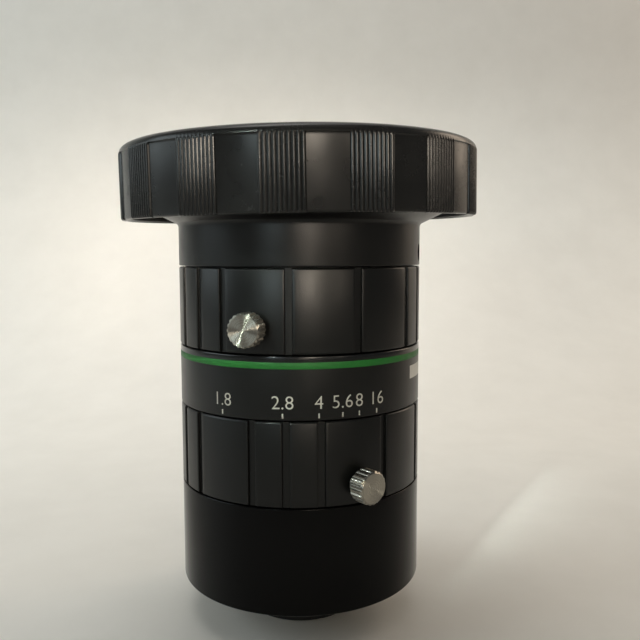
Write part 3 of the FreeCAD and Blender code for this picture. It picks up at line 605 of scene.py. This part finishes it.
def thread_depth(z, angle, z0, z1, pitch, depth):
    """Depth of a vee thread at this height and angle, running out at both ends."""
    phase = (z - z0) / pitch - angle / 360.0
    wave = abs((phase % 1.0) - 0.5) * 2.0
    fade = clamp(min(z - min(z0, z1), max(z0, z1) - z) / (0.6 * pitch))
    return depth * clamp((wave - 0.1) / 0.8) * fade


def thread_wall(angle, r, z0, z1, pitch, depth):
    """Points of a threaded wall from z0 to z1, at this angle."""
    steps = 44
    points = []
    for i in range(steps + 1):
        z = z0 + (z1 - z0) * i / steps
        points.append((r + thread_depth(z, angle, z0, z1, pitch, depth), z))
    return points


def filter_ring():
    """Ring with the filter thread inside."""
    outer_r = 26.75
    inner_r = FILTER_THREAD["r"]
    bottom, top = 63.05, 67.3
    outside = fillet(
        [
            (FILTER_SEAT_R, flare_z(FILTER_SEAT_R) + 0.03), (outer_r, flare_z(outer_r), 0.1),
            (outer_r, top, 0.35), (inner_r + 0.4, top, 0.05),
        ]
    )

    def outline(angle):
        thread = thread_wall(angle, **FILTER_THREAD)
        return outside + thread + [(inner_r, bottom), (FILTER_SEAT_R, bottom)]

    ring = grid_lathe("filter_thread_ring", even_angles(240), outline, 25.0)
    dress(ring, "black_satin", "barrel", "filter_ring")


def mount_ring():
    """C-mount ring: the thread, the flange that meets the camera, and the hub behind it."""
    tip = -3.6
    lip_r = 10.2
    hub_r = 14.0
    flange_r = 15.3
    flange_top, hub_top = 2.2, 6.0
    thread_r = C_MOUNT_THREAD["r"]
    nose = [(MOUNT_BORE_R, tip), (thread_r - 0.3, tip)]
    flange = [(thread_r, 0.0), (flange_r - 0.15, 0.0), (flange_r, 0.12), (flange_r, flange_top)]
    hub = [(hub_r, flange_top), (hub_r, hub_top), (MOUNT_BORE_R, hub_top)]
    lip = [(MOUNT_BORE_R, 1.0), (lip_r, 1.0), (lip_r, 0.0), (MOUNT_BORE_R, 0.0)]

    def outline(angle):
        return nose + thread_wall(angle, **C_MOUNT_THREAD) + flange + hub + lip

    ring = grid_lathe("mount_thread_ring", even_angles(240), outline, 25.0)
    dress(ring, "mount_metal", "barrel", "c_mount_ring")


def rear_cell():
    """Cell of the rear glass, which the lens stands on."""
    lip_r, bore_r, nose_r = 7.2, 7.9, 9.0
    collar_r = 11.32
    collar_low, collar_high = 1.03, 3.6
    tube_bore_r, tube_r, tube_top = 8.9, 9.9, 13.4
    lip_top = REST_Z + 0.7
    outline = fillet(
        [
            (lip_r, REST_Z, 0.12), (nose_r, REST_Z, 0.25), (nose_r, collar_low), (collar_r, collar_low),
            (collar_r, collar_high), (tube_r, collar_high), (tube_r, tube_top, 0.15),
            (tube_bore_r, tube_top), (tube_bore_r, collar_high), (bore_r, collar_high),
            (bore_r, lip_top), (lip_r, lip_top, 0.05),
        ]
    )
    dress(lathe("rear_lens_cell", outline, 192), "black_inner", "barrel", "rear_cell")


# Grip rings


def slot_angles(start, pattern, period):
    repeats = round(360.0 / SLOT_STEP / period)
    steps = [n * period + k for n in range(repeats) for k in pattern]
    return sorted((start + SLOT_STEP * step) % 360 for step in steps)


def slot_columns(slots):
    """Depth at the angle of each mesh column. They lie close together at the slots' rounded edges."""
    edge = math.degrees(SLOT_HALF / BARREL_R)
    soft = math.degrees(SLOT_EDGE / BARREL_R)
    profile = (
        (edge + soft, 0.0), (edge + soft * 0.55, 0.02), (edge + soft * 0.2, 0.07), (edge, 0.16),
        (edge - 0.01, SLOT_DEPTH - 0.05), (edge - soft * 0.4, SLOT_DEPTH), (0.0, SLOT_DEPTH),
    )
    columns = {}
    for slot in slots:
        for offset, depth in profile:
            for side in (-1, 1):
                columns[round((slot + side * offset) % 360, 5)] = depth
    for angle in even_angles(240):
        away = min(abs((angle - slot + 180) % 360 - 180) for slot in slots)
        if away > edge + 1.5 * soft:
            columns[round(angle, 5)] = 0.0
        elif away < edge - soft:
            columns[round(angle, 5)] = SLOT_DEPTH
    return dict(sorted(columns.items()))


def ring_section(depth, bottom, top):
    """Section of a grip ring where its side is set in by this depth. Its outer edges are rounded."""
    floor = BARREL_R - SLOT_DEPTH
    run = max(0.0, RING_EDGE - depth)
    half = [(RING_BORE_R, 0.0), (floor, 0.0)]
    for share in (0.0, 0.35, 0.75, 1.0):
        a = share * math.pi / 2
        r = BARREL_R - RING_EDGE + RING_EDGE * math.sin(a)
        rise = RING_EDGE - run * math.cos(a) if share else 0.0
        half.append((max(floor, min(r, BARREL_R - depth)), rise))
    return [(r, bottom + rise) for r, rise in half] + [(r, top - rise) for r, rise in reversed(half)]


def screw_place(screw):
    """Where a lock screw's axis meets the barrel's surface, and the direction that it points out in."""
    base = Vector(turn_point(BARREL_R, screw["angle"], screw["z"]))
    out = Vector(turn_point(1, screw["angle"] + screw["lean"], 0))
    return base, out


def grip_ring(name, node, body, heights, slots, screw, pin):
    """Ring with grip slots, a hole for its lock screw and a seat inside for its drive pin."""
    depths = slot_columns(slot_angles(**slots))
    ring = grid_lathe(name, list(depths), lambda angle: ring_section(depths[angle], *heights))
    base, out = screw_place(screw)
    screw_hole = cylinder_cutter(SHANK_R + 0.05, base - out * 3.0, out, 5.0, 32)
    cut(ring, screw_hole, radial_cutter(pin, 16.6, 18.85))
    dress(ring, "black_satin", body, node)


# Knurled lock screws


def flute_depth(angle):
    """Depth of the head's round-bottomed flutes at this angle."""
    share = (angle * FLUTES / 360.0) % 1.0
    across = (share - 0.5) / (FLUTE_SHARE / 2)
    return FLUTE_DEPTH * math.sqrt(max(0.0, 1.0 - across * across))


def screw_section(angle):
    """Half section of a lock screw: shank, collar, fluted head with chamfers and a shallow dished face."""
    foot, face = HEAD_Z
    wall = HEAD_R - flute_depth(angle)
    rim = HEAD_R - HEAD_CHAMFER
    slope = max(0.0, wall - rim)
    straight = HEAD_CHAMFER + 0.05
    return [
        (SHANK_R, SHANK_END), (SHANK_R, COLLAR_FOOT), (COLLAR_R, COLLAR_FOOT), (COLLAR_R, foot),
        (min(rim, wall), foot), (wall, foot + slope), (wall, foot + straight), (wall, face - straight),
        (wall, face - slope), (min(rim, wall), face), (rim - 0.06, face - 0.004), (1.2, face - 0.02),
        (0.25, face - 0.03),
    ]


def lock_screw(name, node, body, screw):
    obj = solid_lathe(name, FLUTES * 12, screw_section, SHANK_END, HEAD_Z[1] - 0.045, 28.0)
    base, out = screw_place(screw)
    turn = out.to_track_quat("Z", "Y").to_matrix().to_4x4()
    spin = Matrix.Rotation(math.radians(screw["spin"]), 4, "Z")
    obj.matrix_world = Matrix.Translation(base * MM) @ turn @ spin
    dress(obj, "screw_steel", body, node)


# Push-on cap


def cap_depth(angle):
    """How far the cap's side is set in at this angle: ridges on the pads, a plain step between them."""
    local = (angle - CAP_CENTRE + CAP_PITCH / 2) % CAP_PITCH - CAP_PITCH / 2
    half = CAP_RIBBED / 2
    if abs(local) >= half:
        return PANEL_DEPTH
    share = (local + half) / CAP_RIBBED * CAP_RIBS
    wave = abs((share % 1.0) - 0.5) * 2.0
    return RIB_DEPTH * wave**1.6


def cap_columns():
    """Angles of the mesh's columns: eight to a ridge, and wider ones on the panels between the pads."""
    rib_steps = CAP_RIBS * 8
    panel_steps = 12
    gap = 0.03
    panel = CAP_PITCH - CAP_RIBBED - 2 * gap
    columns = set()
    for n in range(CAP_PADS):
        centre = CAP_CENTRE + CAP_PITCH * n
        pad_start = centre - CAP_RIBBED / 2
        panel_start = centre + CAP_RIBBED / 2 + gap
        columns.update(pad_start + CAP_RIBBED * i / rib_steps for i in range(rib_steps + 1))
        columns.update(panel_start + panel * i / panel_steps for i in range(panel_steps + 1))
    return sorted({round(angle % 360, 5) for angle in columns})


def cap_side(depth):
    """Outer side of the cap, from its rounded rim up to the shoulder where the ridges fade."""
    rim = ((0.42, 0.0), (0.2, 0.06), (0.06, 0.2), (0.0, 0.45))
    points = [(CAP_R - CAP_WALL + 0.3, 0.0)]
    points += [(CAP_R - inset - depth, z) for inset, z in rim]
    points.append((CAP_R - depth, CAP_SHOULDER - 0.35))
    points.append((CAP_R - depth * 0.85 - 0.01, CAP_SHOULDER - 0.1))
    points.append((CAP_R - min(depth, 0.06) - 0.03, CAP_SHOULDER + 0.05))
    return points


def cap_crown():
    """Rounded front edge and the shallow dish, in to the axis."""
    reach = CAP_R - 0.12 - CAP_TOP_R
    rise = CAP_HEIGHT - CAP_CROWN
    points = []
    for k in range(7):
        a = math.radians(90.0 * k / 6)
        points.append((CAP_TOP_R + reach * math.cos(a), CAP_CROWN + rise * math.sin(a)))
    dish = ((22.2, 0.0), (21.75, 0.04), (21.3, 0.22), (21.0, CAP_DISH), (8.0, CAP_DISH), (0.02, CAP_DISH))
    return points + [(r, CAP_HEIGHT - fall) for r, fall in dish]


def cap_inside():
    """Inner side of the cap, from the axis to the rim."""
    bore_r = CAP_R - CAP_WALL
    ceiling = CAP_HEIGHT - CAP_DISH - 1.0
    return [
        (0.02, ceiling), (12.0, ceiling), (bore_r - 0.5, ceiling), (bore_r - 0.15, ceiling - 0.12),
        (bore_r, ceiling - 0.4), (bore_r, 5.0), (bore_r, 0.3),
    ]


def front_cap():
    top_and_inside = cap_crown() + cap_inside()

    def outline(angle):
        return cap_side(cap_depth(angle)) + top_and_inside

    cap = grid_lathe("ribbed_cap", cap_columns(), outline, 30.0)
    tilt_y = Matrix.Rotation(math.radians(CAP_TILT["Y"]), 4, "Y")
    tilt_x = Matrix.Rotation(math.radians(CAP_TILT["X"]), 4, "X")
    cap.data.transform(Matrix.Translation(Vector(CAP_PLACE) * MM) @ tilt_y @ tilt_x)
    cap.data.update()
    dress(cap, "cap_plastic", "cap", "front_cap")


# Glass


def sag(radius, r):
    """Height of a lens surface at r above its vertex. A negative radius curves it downwards."""
    return math.copysign(abs(radius) - math.sqrt(radius**2 - r**2), radius)


def element(name, node, body, r, rear_r, rear, front):
    """Lens element. A surface is its vertex's height and its radius, and the rear one reaches rear_r."""
    steps = 14
    section = []
    for i in range(1, steps + 1):
        at = rear_r * i / steps
        section.append((at, rear[0] + sag(rear[1], at)))
    if rear_r < r:
        section.append((r, section[-1][1]))
    for i in range(steps, 0, -1):
        at = r * i / steps
        section.append((at, front[0] + sag(front[1], at)))
    obj = solid_lathe(name, 128, lambda angle: section, rear[0], front[0], 30.0)
    dress(obj, "glass", body, node)


def glass():
    """Front and rear elements, the two that can be seen into."""
    seat_z = 59.23
    edge = 1.2
    front_r, hollow_r = 19.17, 16.0
    rear_side = (seat_z - sag(-48.0, hollow_r), -48.0)
    front_side = (seat_z + edge - sag(-80.0, front_r), -80.0)
    element("front_glass", "front_element", "optics", front_r, hollow_r, rear_side, front_side)
    rear_r = 7.87
    rear_z = -5.37
    thickness = 2.6
    rear_side = (rear_z, 400.0)
    front_side = (rear_z + thickness, -24.0)
    element("rear_glass", "rear_element", "barrel", rear_r, rear_r, rear_side, front_side)


# Markings


def flat_letters(name, text, height):
    """Mesh of a line of plain lettering, in millimetres and centred on the origin."""
    curve = bpy.data.curves.new(name, "FONT")
    curve.body = text
    curve.align_x = "CENTER"
    curve.align_y = "CENTER"
    curve.size = height * 1.4
    curve.offset = -0.012 * height
    curve.resolution_u = 4
    curve.extrude = 0.01
    letters = add_object(name, curve)
    bpy.context.view_layer.update()
    graph = bpy.context.evaluated_depsgraph_get()
    mesh = bpy.data.meshes.new_from_object(letters.evaluated_get(graph))
    bpy.data.objects.remove(letters)
    return mesh


def wrap_text(name, text, angle, z, height):
    """Lettering bent round the band."""
    mesh = flat_letters(name, text, height)
    bm = bmesh.new()
    bm.from_mesh(mesh)
    bmesh.ops.subdivide_edges(bm, edges=[e for e in bm.edges if e.calc_length() > 0.4], cuts=2)
    for v in bm.verts:
        around = angle + math.degrees(v.co.x / BARREL_R)
        v.co = Vector(turn_point(BARREL_R + 0.004 + v.co.z, around, z + v.co.y)) * MM
    bm.to_mesh(mesh)
    bm.free()
    dress(add_object(name, mesh), "black_satin", "barrel", material=WHITE)


def patch(name, start, end, heights, proud, steps, material):
    """Thin curved patch that stands a little proud of the band."""
    obj = sector(name, BARREL_R - 0.05, BARREL_R + proud, heights, start, end, steps)
    dress(obj, "black_satin", "barrel", material=material)


def markings():
    for text, angle in IRIS_DIAL:
        name = "dial_" + text.replace(".", "_")
        wrap_text(name, text, angle, DIAL_Z, DIAL_HEIGHT)
        patch(name + "_tick", angle - TICK_HALF_ANGLE, angle + TICK_HALF_ANGLE, TICK_Z, 0.008, 2, WHITE)
    patch("side_patch", *PLATE_ANGLES, PLATE_Z, 0.02, 12, PLATE)


# CAD nodes that keep their own shape


def finish_cad_nodes():
    slots = {s["node"]: s["material_slot"] for s in frame["record"]["subparts"]}
    for name, obj in frame["nodes"].items():
        obj.data.materials.clear()
        obj.data.materials.append(MATERIALS[slots[name]])


# Stage


def floor():
    """Pale floor that bends up into a backdrop behind the lens."""
    half_width = 900.0
    near, far = -600.0, 260.0
    bend, top = 160.0, 700.0
    section = [(near, REST_Z), (far - bend, REST_Z)]
    for k in range(1, 17):
        a = math.radians(90.0 * k / 16)
        section.append((far - bend + bend * math.sin(a), REST_Z + bend - bend * math.cos(a)))
    section.append((far, top))
    verts = [(x, y, z) for x in (-half_width, half_width) for y, z in section]
    faces = grid_faces(2, len(section), close_columns=False, close_rows=False)
    obj = mesh_object("floor", verts, faces)
    material, tree, shader, where = new_material("floor_pale")
    speckle = noise(tree, where, 60.0, 5.0, 0.6)
    vary_colour(tree, shader, speckle, (0.80, 0.775, 0.725), (0.84, 0.815, 0.765))
    shader.inputs["Roughness"].default_value = 0.6
    obj.data.materials.append(material)


def sky():
    """Dim even light from all round."""
    world = bpy.data.worlds.new("studio")
    world.use_nodes = True
    background = world.node_tree.nodes["Background"]
    background.inputs["Color"].default_value = (0.95, 0.97, 1.0, 1)
    background.inputs["Strength"].default_value = 0.14
    bpy.context.scene.world = world


def lamp(name, at, target, size, power, colour, spread=180.0):
    light = bpy.data.lights.new(name, "AREA")
    light.shape = "RECTANGLE"
    light.size, light.size_y = size
    light.energy = power
    light.color = colour
    light.spread = math.radians(spread)
    obj = add_object(name, light)
    obj.location = at
    obj.rotation_euler = (Vector(target) - Vector(at)).to_track_quat("-Z", "Y").to_euler()


def side_lamps():
    """Soft lamps on both sides. Lamps are placed in metres."""
    barrel = (0, 0, 0.03)
    lamp("left_side", (-0.44, -0.05, 0.20), barrel, (0.30, 0.30), 0.72, (0.84, 0.97, 1.0))
    lamp("back_right", (0.35, 0.24, 0.22), barrel, (0.24, 0.30), 0.78, (1.0, 0.82, 0.64))


def backdrop_lamps():
    """Lamps over the backdrop, which keep it pale."""
    floor_behind = (-0.04, 0.20, 0)
    wall = (0, 0.26, 0.16)
    lamp("top_back", (-0.05, 0.21, 0.55), floor_behind, (0.5, 0.3), 0.32, (1.0, 0.99, 0.95), 66.0)
    lamp("backdrop_soft", (0, 0.02, 0.60), wall, (0.5, 0.2), 0.17, (1.0, 0.98, 0.93), 60.0)


def highlight_lamps():
    """Weak lamps, most of them narrow, that place the streaks on the barrel and on the screws' faces."""
    rings = (0, 0, 0.05)
    upper_screw = (-0.006, -0.022, 0.042)
    over_cap = (0, 0, 0.074)
    lamp("top_front", (0.05, -0.16, 0.50), rings, (0.3, 0.3), 0.015, (1.0, 0.95, 0.85), 70.0)
    lamp("high_cool", (-0.205, -0.356, 0.267), upper_screw, (0.02, 0.02), 0.0022, (0.84, 1.0, 0.9), 6.0)
    lamp("front_warm", (0.12, -0.46, 0.20), rings, (0.14, 0.16), 0.014, (1.0, 0.9, 0.62), 50.0)
    lamp("face_warm", (0.055, -0.368, 0.105), over_cap, (0.16, 0.08), 0.022, (1.0, 0.87, 0.72), 18.0)
    lamp("side_warm", (0.21, -0.305, 0.105), over_cap, (0.14, 0.08), 0.0042, (1.0, 0.86, 0.70), 20.0)
    lamp("face_cool", (-0.15, -0.335, 0.10), over_cap, (0.16, 0.08), 0.0062, (0.82, 0.98, 1.0), 18.0)


def camera():
    """Camera fitted to the photo, whose focal length is given in pixels of an image 640 wide."""
    yaw, pitch, roll = 0.0279, -0.09187, -0.00271
    place = (0.0, -118.44, 52.19)
    focal, image_width = 716.6, 640.0
    forward = Vector((math.sin(yaw) * math.cos(pitch), math.cos(yaw) * math.cos(pitch), math.sin(pitch)))
    right = Vector((math.cos(yaw), -math.sin(yaw), 0.0))
    up = right.cross(forward)
    across = right * math.cos(roll) + up * math.sin(roll)
    above = up * math.cos(roll) - right * math.sin(roll)
    data = bpy.data.cameras.new("camera")
    data.sensor_width = 36.0
    data.lens = focal / image_width * data.sensor_width
    data.clip_start = 0.005
    data.clip_end = 20.0
    data.dof.use_dof = False
    obj = add_object("camera", data)
    turn = Matrix((across, above, -forward)).transposed().to_4x4()
    obj.matrix_world = Matrix.Translation(Vector(place) * MM) @ turn
    bpy.context.scene.camera = obj


finish_cad_nodes()
rear_barrel()
inner_tube()
middle_band()
green_line()
front_barrel()
filter_ring()
mount_ring()
rear_cell()
grip_ring("focus_grip", "focus_ring", "focus", FOCUS_RING_Z, FOCUS_SLOTS, FOCUS_SCREW, FOCUS_PIN)
grip_ring("iris_grip", "iris_ring", "iris", IRIS_RING_Z, IRIS_SLOTS, IRIS_SCREW, IRIS_PIN)
lock_screw("focus_thumb_screw", "focus_lock_screw", "focus_lock", FOCUS_SCREW)
lock_screw("iris_thumb_screw", "iris_lock_screw", "iris_lock", IRIS_SCREW)
front_cap()
glass()
markings()
floor()
sky()
side_lamps()
backdrop_lamps()
highlight_lamps()
camera()
bpy.context.scene.view_settings.view_transform = "Standard"
